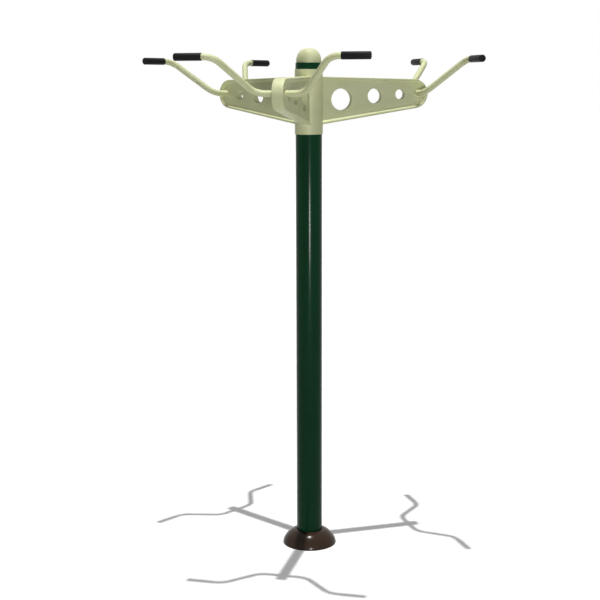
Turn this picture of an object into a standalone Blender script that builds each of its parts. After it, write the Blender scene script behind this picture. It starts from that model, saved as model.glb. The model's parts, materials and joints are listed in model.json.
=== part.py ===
# Outdoor pull-up bar: a post on a bolted foot, a hub with three arms and three bent pull bars.
# Metres, +Z up. The origin is the centre of the base plate's underside, on the ground.
# The front arm points along -Y, and the other two follow at 120 degrees each way.
import math

import bmesh
import bpy

# Clearances
FIT_GAP = 0.0003
SLIDE_GAP = 0.001
CUT_OVERRUN = 0.01

# Post
POST_DIAMETER = 0.121
POST_WALL = 0.005
POST_TOP = 2.280
POST_BAND = 0.028

# Foot: plate, gussets and anchors
PLATE_TO_COVER_RIM = 0.015
PLATE_THICKNESS = 0.012
PLATE_HOLE_DIAMETER = 0.018
ANCHOR_COUNT = 4
STUD_DIAMETER = 0.016
STUD_STICKOUT = 0.007
WASHER_DIAMETER = 0.030
WASHER_THICKNESS = 0.003
NUT_FLATS = 0.024
NUT_HEIGHT = 0.013
GUSSET_THICKNESS = 0.008
GUSSET_HEIGHT = 0.036
GUSSET_TOP_LENGTH = 0.010
GUSSET_TOE_HEIGHT = 0.006
GUSSET_EDGE_MARGIN = 0.007

# Base cover, a dome that slides on the post
COVER_DIAMETER = 0.256
COVER_HEIGHT = 0.068
COVER_WALL = 0.003
COVER_CROWN_POWER = 1.6
COVER_RIM_POWER = 1.6

# Hub sleeve, which leaves a band of the post bare under the cap, and its lock bolts
SLEEVE_WALL = 0.0032
SLEEVE_ABOVE_ARMS = 0.033
SLEEVE_BELOW_ARMS = 0.045
BOLT_DIAMETER = 0.010
BOLT_HEAD_DIAMETER = 0.020
BOLT_HEAD_HEIGHT = 0.006
BOLT_NUT_DIAMETER = 0.016
BOLT_NUT_HEIGHT = 0.012
BOLT_END_STICKOUT = 0.002
BOLT_EDGE_DISTANCE = 0.060
BOLT_AZIMUTH = math.radians(180)

# Top cap, which sits on the inner part of the post's rim
CAP_SEAT = 0.002
CAP_HEIGHT = 0.065
CAP_LIP = 0.006
CAP_WALL = 0.003
CAP_CROWN_POWER = 2.0
CAP_RIM_POWER = 2.8
CAP_SKIRT_LENGTH = 0.025

# Arms
ARM_AZIMUTHS = {"front": 0.0, "right": math.radians(120), "left": math.radians(240)}
ARM_ROOT_DEPTH = 0.214
NOSE_REACH = 0.505
NOSE_DROP = 0.078
NOSE_RADIUS = 0.0673
BAND_WIDTH = 0.050
BAND_THICKNESS = 0.010
WEB_WIDTH = 0.034
WEB_PLATE = 0.003
RING_WALL = 0.003

# Web holes: place along the arm from sleeve to nose, then height and radius against its depth there
WEB_HOLE_SHARES = {
    "large": (0.200, 0.495, 0.250),
    "medium": (0.564, 0.520, 0.201),
    "small": (0.848, 0.516, 0.158),
}

# Pull bars: a wing shape in a plane that leans outwards
TUBE_DIAMETER = 0.028
TUBE_WALL = 0.0026
BAR_PAST_NOSE = 0.018
BAR_ABOVE_NOSE = 0.004
BAR_LEAN = math.radians(44.7)
BAR_CENTRE_HALF = 0.1065
BAR_KNEE_HALF = 0.242
BAR_RISE = 0.2095
BEND_RADIUS = 0.080

# Grips
GRIP_DIAMETER = 0.032
GRIP_LENGTH = 0.120
GRIP_TO_BEND = 0.0035
GRIP_END_WALL = 0.004
GRIP_ROUNDING = 0.006

# Counts of facets
POST_SIDES = 48
RING_SIDES = 20
GRIP_SIDES = 16
STUD_SIDES = 12
DOME_STEPS = 9
NOSE_STEPS = 14
BEND_STEPS = 5
ROUNDING_STEPS = 3
HEX_SIDES = 6
TUBE_BEVEL_RESOLUTION = 3

# Sizes that follow from those above
POST_RADIUS = POST_DIAMETER / 2
POST_BORE_RADIUS = POST_RADIUS - POST_WALL
POST_BOTTOM = PLATE_THICKNESS + FIT_GAP
SLEEVE_TOP = POST_TOP - POST_BAND
ROOT_TOP = SLEEVE_TOP - SLEEVE_ABOVE_ARMS
ROOT_BOTTOM = ROOT_TOP - ARM_ROOT_DEPTH
SLEEVE_BOTTOM = ROOT_BOTTOM - SLEEVE_BELOW_ARMS
SLEEVE_BORE_RADIUS = POST_RADIUS + FIT_GAP
SLEEVE_RADIUS = SLEEVE_BORE_RADIUS + SLEEVE_WALL
COVER_BORE_RADIUS = POST_RADIUS + SLIDE_GAP
PLATE_RADIUS = COVER_DIAMETER / 2 - PLATE_TO_COVER_RIM
ANCHOR_CIRCLE_RADIUS = (POST_RADIUS + PLATE_RADIUS) / 2
CAP_RADIUS = POST_BORE_RADIUS + CAP_SEAT
TUBE_RADIUS = TUBE_DIAMETER / 2
HOLE_BOLT_RADIUS = BOLT_DIAMETER / 2 + FIT_GAP
BOLT_HEIGHTS = (SLEEVE_BOTTOM + BOLT_EDGE_DISTANCE, SLEEVE_TOP - BOLT_EDGE_DISTANCE)
NOSE_HEIGHT = ROOT_TOP - NOSE_DROP
BAR_REACH = NOSE_REACH + BAR_PAST_NOSE
BAR_HEIGHT = NOSE_HEIGHT + BAR_ABOVE_NOSE
BAR_SLOPE = math.atan2(BAR_RISE, BAR_KNEE_HALF - BAR_CENTRE_HALF)
BEND_LENGTH = BEND_RADIUS * math.tan(BAR_SLOPE / 2)
BAR_SPAN_HALF = BAR_KNEE_HALF + BEND_LENGTH + GRIP_TO_BEND + GRIP_LENGTH


def clear_scene():
    for obj in list(bpy.data.objects):
        bpy.data.objects.remove(obj, do_unlink=True)


def new_collection(name):
    collection = bpy.data.collections.new(name)
    bpy.context.scene.collection.children.link(collection)
    return collection


def new_material(name, colour, roughness, metallic=0.0):
    material = bpy.data.materials.new(name)
    material.use_nodes = True
    shader = material.node_tree.nodes["Principled BSDF"]
    shader.inputs["Base Color"].default_value = (*colour, 1.0)
    shader.inputs["Roughness"].default_value = roughness
    shader.inputs["Metallic"].default_value = metallic
    return material


def new_empty(name, parent=None, location=(0, 0, 0), rotation=(0, 0, 0)):
    empty = bpy.data.objects.new(name, None)
    parts.objects.link(empty)
    empty.parent = parent
    empty.location = location
    empty.rotation_euler = rotation
    return empty


def new_piece(name, mesh, material=None, parent=None, location=(0, 0, 0), rotation=(0, 0, 0)):
    """An object of the part, or a cutter where no material is given."""
    piece = bpy.data.objects.new(name, mesh)
    if material:
        parts.objects.link(piece)
        mesh.materials.append(material)
    else:
        cutters.objects.link(piece)
        piece.hide_render = True
        piece.display_type = "WIRE"
    piece.parent = parent
    piece.location = location
    piece.rotation_euler = rotation
    return piece


def shade_round(piece):
    piece.data.shade_smooth()
    piece.data.set_sharp_from_angle(angle=math.radians(35))


def turned_mesh(name, profile, sides, closed=True):
    """A mesh turned about Z from a profile at +X that runs down its outer side."""
    mesh = bpy.data.meshes.new(name)
    build = bmesh.new()
    verts = [build.verts.new((radius, 0, height)) for radius, height in profile]
    for first, second in zip(verts, verts[1:] + verts[:1] if closed else verts[1:]):
        build.edges.new((first, second))
    build.to_mesh(mesh)
    build.free()
    holder = bpy.data.objects.new(name, mesh)
    parts.objects.link(holder)
    screw = holder.modifiers.new("Turn", "SCREW")
    screw.steps = sides
    screw.render_steps = sides
    screw.use_merge_vertices = True
    screw.merge_threshold = 0.0001
    turned = evaluated_mesh(holder)
    bpy.data.objects.remove(holder, do_unlink=True)
    turned.name = name
    return turned


def evaluated_mesh(holder):
    graph = bpy.context.evaluated_depsgraph_get()
    return bpy.data.meshes.new_from_object(holder.evaluated_get(graph))


def meshed_curve(name, curve):
    """The curve's mesh, with its loose caps welded on."""
    holder = bpy.data.objects.new(name, curve)
    parts.objects.link(holder)
    mesh = evaluated_mesh(holder)
    bpy.data.objects.remove(holder, do_unlink=True)
    build = bmesh.new()
    build.from_mesh(mesh)
    bmesh.ops.remove_doubles(build, verts=build.verts, dist=0.00001)
    bmesh.ops.recalc_face_normals(build, faces=build.faces)
    build.to_mesh(mesh)
    build.free()
    mesh.name = name
    return mesh


def add_spline(curve, points, cyclic):
    spline = curve.splines.new("POLY")
    spline.points.add(len(points) - 1)
    for target, point in zip(spline.points, points):
        target.co = (*point, 1.0)
    spline.use_cyclic_u = cyclic


def sheet_mesh(name, outlines, thickness):
    """A flat sheet in the XY plane, centred on it; outlines inside the first one are holes."""
    curve = bpy.data.curves.new(name, "CURVE")
    curve.dimensions = "2D"
    curve.fill_mode = "BOTH"
    curve.extrude = thickness / 2
    for outline in outlines:
        add_spline(curve, [(x, y, 0) for x, y in outline], True)
    return meshed_curve(name, curve)


def circle(centre, radius, sides):
    x, y = centre
    angles = [2 * math.pi * i / sides for i in range(sides)]
    return [(x + radius * math.cos(a), y + radius * math.sin(a)) for a in angles]


def quarter_dome(centre_radius, base_height, reach, rise, crown_power, rim_power, steps=DOME_STEPS):
    """Profile of a dome from its crown down to its rim.

    Both powers at 2 give an ellipse; a larger one is fuller, a smaller one is flatter."""
    points = [(centre_radius, base_height + rise)]
    for i in range(1, steps):
        angle = math.pi / 2 * (1 - i / steps)
        outward = reach * math.cos(angle) ** (2 / rim_power)
        upward = rise * math.sin(angle) ** (2 / crown_power)
        points.append((centre_radius + outward, base_height + upward))
    points.append((centre_radius + reach, base_height))
    return points


def ring_profile(inner, outer, bottom, top):
    return [(outer, top), (outer, bottom), (inner, bottom), (inner, top)]


def cut(piece, cutter):
    boolean = piece.modifiers.new("Cut " + cutter.name, "BOOLEAN")
    boolean.operation = "DIFFERENCE"
    boolean.solver = "EXACT"
    boolean.object = cutter


def cylinder_mesh(name, radius, length, sides):
    mesh = bpy.data.meshes.new(name)
    build = bmesh.new()
    bmesh.ops.create_cone(
        build, cap_ends=True, segments=sides, radius1=radius, radius2=radius, depth=length
    )
    build.to_mesh(mesh)
    build.free()
    return mesh


def on_circle(radius, azimuth):
    """A place at this reach from the axis; azimuth is measured from -Y towards +X."""
    return radius * math.sin(azimuth), -radius * math.cos(azimuth)


def heading(azimuth):
    """Turn about Z that takes local +X to this azimuth."""
    return azimuth - math.pi / 2


# Foot


def make_base_plate():
    holes = []
    for azimuth in anchor_azimuths():
        place = on_circle(ANCHOR_CIRCLE_RADIUS, azimuth)
        holes.append(circle(place, PLATE_HOLE_DIAMETER / 2, RING_SIDES))
    outline = circle((0, 0), PLATE_RADIUS, POST_SIDES)
    mesh = sheet_mesh("base_plate", [outline, *holes], PLATE_THICKNESS)
    new_piece("base_plate", mesh, green_paint, location=(0, 0, PLATE_THICKNESS / 2))


def anchor_azimuths():
    step = 2 * math.pi / ANCHOR_COUNT
    return [step / 2 + step * i for i in range(ANCHOR_COUNT)]


def make_anchors():
    washer_bottom = PLATE_THICKNESS + FIT_GAP
    nut_bottom = washer_bottom + WASHER_THICKNESS + FIT_GAP
    stud_top = nut_bottom + NUT_HEIGHT + STUD_STICKOUT
    bore = STUD_DIAMETER / 2 + FIT_GAP
    for number, azimuth in enumerate(anchor_azimuths(), 1):
        x, y = on_circle(ANCHOR_CIRCLE_RADIUS, azimuth)
        stud = cylinder_mesh("stud", STUD_DIAMETER / 2, stud_top, STUD_SIDES)
        shade_round(new_piece(f"anchor_stud_{number}", stud, steel_zinc, location=(x, y, stud_top / 2)))
        profile = ring_profile(bore, WASHER_DIAMETER / 2, 0, WASHER_THICKNESS)
        washer = turned_mesh("washer", profile, STUD_SIDES)
        new_piece(f"anchor_washer_{number}", washer, steel_zinc, location=(x, y, washer_bottom))
        corner_radius = NUT_FLATS / 2 / math.cos(math.pi / HEX_SIDES)
        outlines = [circle((0, 0), corner_radius, HEX_SIDES), circle((0, 0), bore, STUD_SIDES)]
        nut = sheet_mesh("nut", outlines, NUT_HEIGHT)
        place = (x, y, nut_bottom + NUT_HEIGHT / 2)
        new_piece(f"anchor_nut_{number}", nut, steel_zinc, location=place, rotation=(0, 0, azimuth))


def make_gussets():
    bottom = PLATE_THICKNESS + FIT_GAP
    heel = POST_RADIUS + FIT_GAP
    toe = PLATE_RADIUS - GUSSET_EDGE_MARGIN
    outline = [
        (heel, bottom),
        (toe, bottom),
        (toe, bottom + GUSSET_TOE_HEIGHT),
        (heel + GUSSET_TOP_LENGTH, bottom + GUSSET_HEIGHT),
        (heel, bottom + GUSSET_HEIGHT),
    ]
    for number in range(1, ANCHOR_COUNT + 1):
        azimuth = 2 * math.pi * (number - 1) / ANCHOR_COUNT
        mesh = sheet_mesh("gusset", [outline], GUSSET_THICKNESS)
        turn = (math.pi / 2, 0, heading(azimuth))
        new_piece(f"base_gusset_{number}", mesh, green_paint, rotation=turn)


def make_base_cover():
    reach = COVER_DIAMETER / 2 - COVER_BORE_RADIUS
    powers = COVER_CROWN_POWER, COVER_RIM_POWER
    outer = quarter_dome(COVER_BORE_RADIUS, 0, reach, COVER_HEIGHT, *powers)
    inner = quarter_dome(COVER_BORE_RADIUS, 0, reach - COVER_WALL, COVER_HEIGHT - COVER_WALL, *powers)
    mesh = turned_mesh("base_cover", outer + inner[::-1], POST_SIDES)
    shade_round(new_piece("base_cover", mesh, brown_gloss))


# Post, hub and cap


def make_post():
    profile = ring_profile(POST_BORE_RADIUS, POST_RADIUS, POST_BOTTOM, POST_TOP)
    post = new_piece("post", turned_mesh("post", profile, POST_SIDES), green_paint)
    shade_round(post)
    for cutter in bolt_cutters:
        cut(post, cutter)


def make_bolt_cutters():
    """Holes for the lock bolts, through the sleeve's wall and the post's."""
    length = SLEEVE_RADIUS - POST_BORE_RADIUS + 2 * CUT_OVERRUN
    middle = (SLEEVE_RADIUS + POST_BORE_RADIUS) / 2
    x, y = on_circle(middle, BOLT_AZIMUTH)
    made = []
    for number, height in enumerate(BOLT_HEIGHTS, 1):
        name = f"bolt_hole_{number}"
        mesh = cylinder_mesh(name, HOLE_BOLT_RADIUS, length, RING_SIDES)
        turn = (0, math.pi / 2, heading(BOLT_AZIMUTH))
        made.append(new_piece(name, mesh, location=(x, y, height), rotation=turn))
    return made


def make_hub_sleeve():
    profile = ring_profile(SLEEVE_BORE_RADIUS, SLEEVE_RADIUS, SLEEVE_BOTTOM, SLEEVE_TOP)
    sleeve = new_piece("hub_sleeve", turned_mesh("hub_sleeve", profile, POST_SIDES), cream_paint)
    shade_round(sleeve)
    for cutter in bolt_cutters:
        cut(sleeve, cutter)


def make_hub_bolts():
    """Each bolt is drawn along +Z from its inner end, then laid along its azimuth."""
    nut_face = math.sqrt(POST_BORE_RADIUS**2 - (BOLT_NUT_DIAMETER / 2) ** 2) - FIT_GAP
    nut_end = nut_face - BOLT_NUT_HEIGHT
    shank_end = nut_end - BOLT_END_STICKOUT
    head_face = SLEEVE_RADIUS + FIT_GAP
    head_top = head_face + BOLT_HEAD_HEIGHT
    head_radius = BOLT_HEAD_DIAMETER / 2
    shank_radius = BOLT_DIAMETER / 2
    bolt_profile = quarter_dome(0, head_face, head_radius, BOLT_HEAD_HEIGHT, 2, 2, ROUNDING_STEPS)
    bolt_profile += [(shank_radius, head_face), (shank_radius, shank_end), (0, shank_end)]
    nut_profile = ring_profile(HOLE_BOLT_RADIUS, BOLT_NUT_DIAMETER / 2, nut_end, nut_face)
    turn = (0, math.pi / 2, heading(BOLT_AZIMUTH))
    for number, height in enumerate(BOLT_HEIGHTS, 1):
        bolt = turned_mesh("hub_bolt", bolt_profile, RING_SIDES, closed=False)
        place = (0, 0, height)
        shade_round(new_piece(f"hub_bolt_{number}", bolt, steel_zinc, location=place, rotation=turn))
        nut = turned_mesh("hub_nut", nut_profile, STUD_SIDES)
        new_piece(f"hub_nut_{number}", nut, steel_zinc, location=place, rotation=turn)


def make_top_cap():
    seat = POST_TOP + FIT_GAP
    rise = CAP_HEIGHT - CAP_LIP
    skirt_radius = POST_BORE_RADIUS - FIT_GAP
    skirt_inner = skirt_radius - CAP_WALL
    powers = CAP_CROWN_POWER, CAP_RIM_POWER
    outer = quarter_dome(0, seat + CAP_LIP, CAP_RADIUS, rise, *powers)
    inner = quarter_dome(0, seat + CAP_LIP, skirt_inner, rise - CAP_WALL, *powers)
    profile = outer + [
        (CAP_RADIUS, seat),
        (skirt_radius, seat),
        (skirt_radius, seat - CAP_SKIRT_LENGTH),
        (skirt_inner, seat - CAP_SKIRT_LENGTH),
    ]
    profile += inner[::-1]
    mesh = turned_mesh("top_cap", profile, POST_SIDES, closed=False)
    shade_round(new_piece("top_cap", mesh, cream_paint))


# Arms


def edge_normal(root_height, side):
    """Unit normal, out of the arm, of its upper (side 1) or lower (side -1) straight edge.

    The edge starts at the sleeve's surface and is tangent to the nose."""
    back = SLEEVE_RADIUS - NOSE_REACH
    rise = root_height - NOSE_HEIGHT
    angle = math.atan2(rise, back) - side * math.acos(NOSE_RADIUS / math.hypot(back, rise))
    return math.cos(angle), math.sin(angle)


def arm_outline(inset):
    """The arm's side view, drawn in by inset: top root, round the nose, bottom root."""
    radius = NOSE_RADIUS - inset
    root = SLEEVE_RADIUS - BAND_THICKNESS * 2
    top = edge_normal(ROOT_TOP, 1)
    bottom = edge_normal(ROOT_BOTTOM, -1)
    start = math.atan2(top[1], top[0])
    end = math.atan2(bottom[1], bottom[0])
    points = [(root, height_on_edge(top, radius, root))]
    for i in range(NOSE_STEPS + 1):
        angle = start + (end - start) * i / NOSE_STEPS
        points.append((NOSE_REACH + radius * math.cos(angle), NOSE_HEIGHT + radius * math.sin(angle)))
    points.append((root, height_on_edge(bottom, radius, root)))
    return points


def height_on_edge(normal, radius, reach):
    """Height, at this reach, of the line with this normal that is tangent to the nose's circle."""
    return NOSE_HEIGHT + (radius - (reach - NOSE_REACH) * normal[0]) / normal[1]


def web_hole(place_share, height_share, radius_share):
    """Reach, height and radius of a hole placed and sized by the arm's own length and depth."""
    reach = SLEEVE_RADIUS + place_share * (NOSE_REACH - SLEEVE_RADIUS)
    top = height_on_edge(edge_normal(ROOT_TOP, 1), NOSE_RADIUS, reach)
    bottom = height_on_edge(edge_normal(ROOT_BOTTOM, -1), NOSE_RADIUS, reach)
    depth = top - bottom
    return reach, bottom + height_share * depth, radius_share * depth


def make_arm(name, azimuth):
    frame = new_empty(f"{name}_arm_frame", rotation=(0, 0, heading(azimuth)))
    upright = (math.pi / 2, 0, 0)
    outline = arm_outline(0) + arm_outline(BAND_THICKNESS)[::-1]
    mesh = sheet_mesh("arm_band", [outline], BAND_WIDTH)
    band = new_piece(f"{name}_arm_band", mesh, cream_paint, frame, rotation=upright)
    cut(band, root_cutter)
    web_holes = {label: web_hole(*shares) for label, shares in WEB_HOLE_SHARES.items()}
    holes = [circle((reach, height), radius, RING_SIDES) for reach, height, radius in web_holes.values()]
    holes.append(circle((BAR_REACH, BAR_HEIGHT), TUBE_RADIUS + FIT_GAP, RING_SIDES))
    for side, label in ((1, "right"), (-1, "left")):
        mesh = sheet_mesh("arm_plate", [arm_outline(BAND_THICKNESS + FIT_GAP), *holes], WEB_PLATE)
        place = (0, side * (WEB_WIDTH - WEB_PLATE) / 2, 0)
        plate = new_piece(f"{name}_arm_plate_{label}", mesh, cream_paint, frame, place, upright)
        cut(plate, root_cutter)
    half = WEB_WIDTH / 2 - WEB_PLATE - FIT_GAP
    for label, (reach, height, radius) in web_holes.items():
        mesh = turned_mesh("arm_ring", ring_profile(radius, radius + RING_WALL, -half, half), RING_SIDES)
        place = (reach, 0, height)
        ring = new_piece(f"{name}_arm_ring_{label}", mesh, cream_paint, frame, place, upright)
        shade_round(ring)
    make_pull_bar(name, frame)


# Pull bars


def rounded_path(corners, radius):
    """The path through these corners with each inner one turned at this radius."""
    points = [corners[0]]
    for before, corner, after in zip(corners, corners[1:], corners[2:]):
        back = unit(before[0] - corner[0], before[1] - corner[1])
        ahead = unit(after[0] - corner[0], after[1] - corner[1])
        half = math.acos(back[0] * ahead[0] + back[1] * ahead[1]) / 2
        middle = unit(back[0] + ahead[0], back[1] + ahead[1])
        centre = [corner[i] + middle[i] * radius / math.sin(half) for i in (0, 1)]
        start = [corner[i] + back[i] * radius / math.tan(half) for i in (0, 1)]
        first = math.atan2(start[1] - centre[1], start[0] - centre[0])
        turn = math.pi - 2 * half
        if back[0] * ahead[1] - back[1] * ahead[0] > 0:
            turn = -turn
        for i in range(BEND_STEPS + 1):
            angle = first + turn * i / BEND_STEPS
            points.append((centre[0] + radius * math.cos(angle), centre[1] + radius * math.sin(angle)))
    points.append(corners[-1])
    return points


def unit(x, y):
    length = math.hypot(x, y)
    return x / length, y / length


def tube_mesh(name, path, radius):
    """A rod along a path in the YZ plane."""
    curve = bpy.data.curves.new(name, "CURVE")
    curve.dimensions = "3D"
    curve.bevel_depth = radius
    curve.bevel_resolution = TUBE_BEVEL_RESOLUTION
    curve.use_fill_caps = True
    add_spline(curve, [(0, y, z) for y, z in path], False)
    return meshed_curve(name, curve)


def bar_corners(end):
    half = [(BAR_CENTRE_HALF, 0), (BAR_KNEE_HALF, BAR_RISE), (end, BAR_RISE)]
    return [(-y, z) for y, z in half[::-1]] + half


def make_pull_bar(name, arm_frame):
    place = (BAR_REACH, 0, BAR_HEIGHT)
    frame = new_empty(f"{name}_bar_frame", arm_frame, place, (0, BAR_LEAN, 0))
    tube_end = BAR_SPAN_HALF - GRIP_END_WALL - FIT_GAP
    path = rounded_path(bar_corners(tube_end), BEND_RADIUS)
    bar = new_piece(f"{name}_pull_bar", tube_mesh("pull_bar", path, TUBE_RADIUS), cream_paint, frame)
    path = rounded_path(bar_corners(tube_end + CUT_OVERRUN), BEND_RADIUS)
    bore = new_piece(f"{name}_bar_bore", tube_mesh("bar_bore", path, TUBE_RADIUS - TUBE_WALL), None, frame)
    cut(bar, bore)
    shade_round(bar)
    for side, label in ((1, "right"), (-1, "left")):
        place = (0, side * (BAR_SPAN_HALF - GRIP_LENGTH), BAR_RISE)
        turn = (-side * math.pi / 2, 0, 0)
        grip = new_piece(f"{name}_grip_{label}", grip_mesh(), black_rubber, frame, place, turn)
        shade_round(grip)


def grip_mesh():
    """A rubber sleeve with a closed end, drawn along +Z from its open end."""
    outer = GRIP_DIAMETER / 2
    bore = TUBE_RADIUS + FIT_GAP
    shoulder = outer - GRIP_ROUNDING, GRIP_LENGTH - GRIP_ROUNDING
    crown = quarter_dome(*shoulder, GRIP_ROUNDING, GRIP_ROUNDING, 2, 2, ROUNDING_STEPS)
    lip = (outer - bore) / 2
    profile = [(0, GRIP_LENGTH), *crown, (outer, lip), (outer - lip, 0), (bore, 0)]
    profile += [(bore, GRIP_LENGTH - GRIP_END_WALL), (0, GRIP_LENGTH - GRIP_END_WALL)]
    return turned_mesh("grip", profile, GRIP_SIDES, closed=False)


clear_scene()
parts = new_collection("Outdoor pull-up bar")
cutters = new_collection("Cutters")

green_paint = new_material("Dark green powder coat", (0.002, 0.028, 0.012), 0.35)
cream_paint = new_material("Cream powder coat", (0.70, 0.68, 0.40), 0.45)
brown_gloss = new_material("Brown glossy plastic", (0.030, 0.019, 0.014), 0.15)
black_rubber = new_material("Black rubber", (0.012, 0.012, 0.013), 0.6)
steel_zinc = new_material("Zinc-plated steel", (0.60, 0.61, 0.63), 0.35, 1.0)

make_base_plate()
make_anchors()
make_gussets()
make_base_cover()
bolt_cutters = make_bolt_cutters()
make_post()
make_hub_sleeve()
make_hub_bolts()
make_top_cap()
root_length = ROOT_TOP - ROOT_BOTTOM + 2 * CUT_OVERRUN
root_mesh = cylinder_mesh("arm_root", SLEEVE_RADIUS + FIT_GAP, root_length, POST_SIDES)
root_cutter = new_piece("arm_root", root_mesh, location=(0, 0, (ROOT_TOP + ROOT_BOTTOM) / 2))
for arm_name, arm_azimuth in ARM_AZIMUTHS.items():
    make_arm(arm_name, arm_azimuth)
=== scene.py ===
# Outdoor pull-up bar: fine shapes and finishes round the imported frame.
# Metres, +Z up, origin on the ground under the post, front arm along -Y.
import json
import math

import bmesh
import bpy
from mathutils import Matrix, Vector


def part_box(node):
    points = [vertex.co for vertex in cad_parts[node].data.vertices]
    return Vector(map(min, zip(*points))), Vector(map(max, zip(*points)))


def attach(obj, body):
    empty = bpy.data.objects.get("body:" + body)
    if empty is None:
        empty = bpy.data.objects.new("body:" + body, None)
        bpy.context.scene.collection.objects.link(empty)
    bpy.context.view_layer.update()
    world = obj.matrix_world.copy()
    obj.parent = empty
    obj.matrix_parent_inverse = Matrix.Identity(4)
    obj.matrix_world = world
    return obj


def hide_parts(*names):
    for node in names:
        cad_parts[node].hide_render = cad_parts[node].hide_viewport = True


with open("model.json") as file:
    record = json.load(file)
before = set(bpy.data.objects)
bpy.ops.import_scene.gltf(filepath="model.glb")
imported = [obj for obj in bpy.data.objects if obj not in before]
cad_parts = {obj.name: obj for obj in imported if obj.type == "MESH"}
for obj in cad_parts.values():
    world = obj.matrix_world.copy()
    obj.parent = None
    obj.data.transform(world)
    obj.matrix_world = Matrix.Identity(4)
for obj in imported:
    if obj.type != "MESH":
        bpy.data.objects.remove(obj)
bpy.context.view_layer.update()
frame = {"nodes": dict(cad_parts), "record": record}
print("frame loaded:", len(frame["nodes"]), "nodes")


# Helpers


def selectOnly(piece):
    bpy.ops.object.select_all(action="DESELECT")
    piece.select_set(True)
    bpy.context.view_layer.objects.active = piece


def newPiece(name):
    # takes the primitive just added, with its place moved into its mesh
    piece = bpy.context.object
    piece.name = name
    piece.data.name = name
    applyPlace(piece)
    return piece


def applyPlace(piece):
    selectOnly(piece)
    bpy.ops.object.transform_apply(location=True, rotation=True, scale=True)


def startEdit(piece):
    selectOnly(piece)
    bpy.ops.object.mode_set(mode="EDIT")
    bpy.ops.mesh.select_all(action="SELECT")


def endEdit():
    bpy.ops.object.mode_set(mode="OBJECT")


def pick(piece, kind, test):
    # in edit mode: leaves only the verts, edges or faces that pass the test selected
    bpy.ops.mesh.select_mode(type=kind)
    bpy.ops.mesh.select_all(action="DESELECT")
    mesh = bmesh.from_edit_mesh(piece.data)
    for part in {"VERT": mesh.verts, "EDGE": mesh.edges, "FACE": mesh.faces}[kind]:
        if test(part):
            part.select_set(True)
    bmesh.update_edit_mesh(piece.data)


def near(value, target, margin=0.0001):
    return abs(value - target) < margin


def addModifier(piece, kind, **settings):
    modifier = piece.modifiers.new(kind.title(), kind)
    for key, value in settings.items():
        setattr(modifier, key, value)
    selectOnly(piece)
    bpy.ops.object.modifier_apply(modifier=modifier.name)


def addWall(piece, thickness):
    addModifier(piece, "SOLIDIFY", thickness=thickness, offset=-1, use_even_offset=True)


def roundEdges(piece, width, segments=3, angle=40):
    addModifier(
        piece,
        "BEVEL",
        width=width,
        segments=segments,
        limit_method="ANGLE",
        angle_limit=math.radians(angle),
        use_clamp_overlap=True,
    )


def addCutter(radius, depth, location, vertices=32, rotation=(0, 0, 0)):
    bpy.ops.mesh.primitive_cylinder_add(
        vertices=vertices, radius=radius, depth=depth, location=location, rotation=rotation
    )
    return newPiece("cutter")


def cutWith(piece, cutter, operation="DIFFERENCE"):
    addModifier(piece, "BOOLEAN", object=cutter, operation=operation, solver="EXACT")
    bpy.data.objects.remove(cutter, do_unlink=True)


def joinTo(piece, others):
    selectOnly(piece)
    for other in others:
        other.select_set(True)
    bpy.ops.object.join()


def domeRings(reach, rise, crownPower, rimPower, steps):
    # how far out and how high each ring of a dome stands, from just above its rim to its crown
    rings = []
    for step in range(1, steps + 1):
        angle = math.pi / 2 * step / steps
        outward = reach * max(math.cos(angle), 0) ** (2 / rimPower)
        rings.append((outward, rise * math.sin(angle) ** (2 / crownPower)))
    return rings


def drawRings(rings, start):
    # in edit mode: the selected ring at start (radius, height) is drawn on through these rings
    radius, height = start
    for nextRadius, nextHeight in rings:
        lift = (0, 0, nextHeight - height)
        bpy.ops.mesh.extrude_edges_move(TRANSFORM_OT_translate={"value": lift})
        scale = nextRadius / radius
        bpy.ops.transform.resize(value=(scale, scale, 1), center_override=(0, 0, nextHeight))
        radius, height = nextRadius, nextHeight


def turnedCopy(piece, name, angle):
    selectOnly(piece)
    bpy.ops.object.duplicate()
    copied = bpy.context.object
    copied.name = name
    copied.data.name = name
    copied.rotation_euler = (0, 0, angle)
    applyPlace(copied)
    return copied


def beadAlong(piece, name, test, radius):
    # a round bead along the edges that pass the test, such as a weld in a corner
    startEdit(piece)
    pick(piece, "EDGE", test)
    bpy.ops.mesh.duplicate()
    bpy.ops.mesh.separate(type="SELECTED")
    endEdit()
    bead = [each for each in bpy.context.selected_objects if each != piece][0]
    selectOnly(bead)
    bpy.ops.object.convert(target="CURVE")
    bead.data.bevel_depth = radius
    bead.data.bevel_resolution = 2
    bead.data.use_fill_caps = True
    bpy.ops.object.convert(target="MESH")
    bead.name = name
    bead.data.name = name
    bead.data.materials.clear()
    return bead


def finishPiece(piece, material, body, nodes=(), angle=35):
    selectOnly(piece)
    bpy.ops.object.shade_smooth_by_angle(angle=math.radians(angle))
    piece.data.materials.clear()
    piece.data.materials.append(material)
    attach(piece, body)
    if nodes:
        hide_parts(*nodes)


# Camera, placed from the lines of the photograph

cameraSizes = {
    "distance": 5.555,
    "height": 2.166,
    "azimuth": 13.15,  # degrees to the right of the front arm
    "aim": 0.441,  # degrees left of the post
    "tilt": 9.97,  # degrees down
    "roll": -0.17,
    "lens": 72.18,  # mm
    "sensor": 36,  # mm across
}


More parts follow.
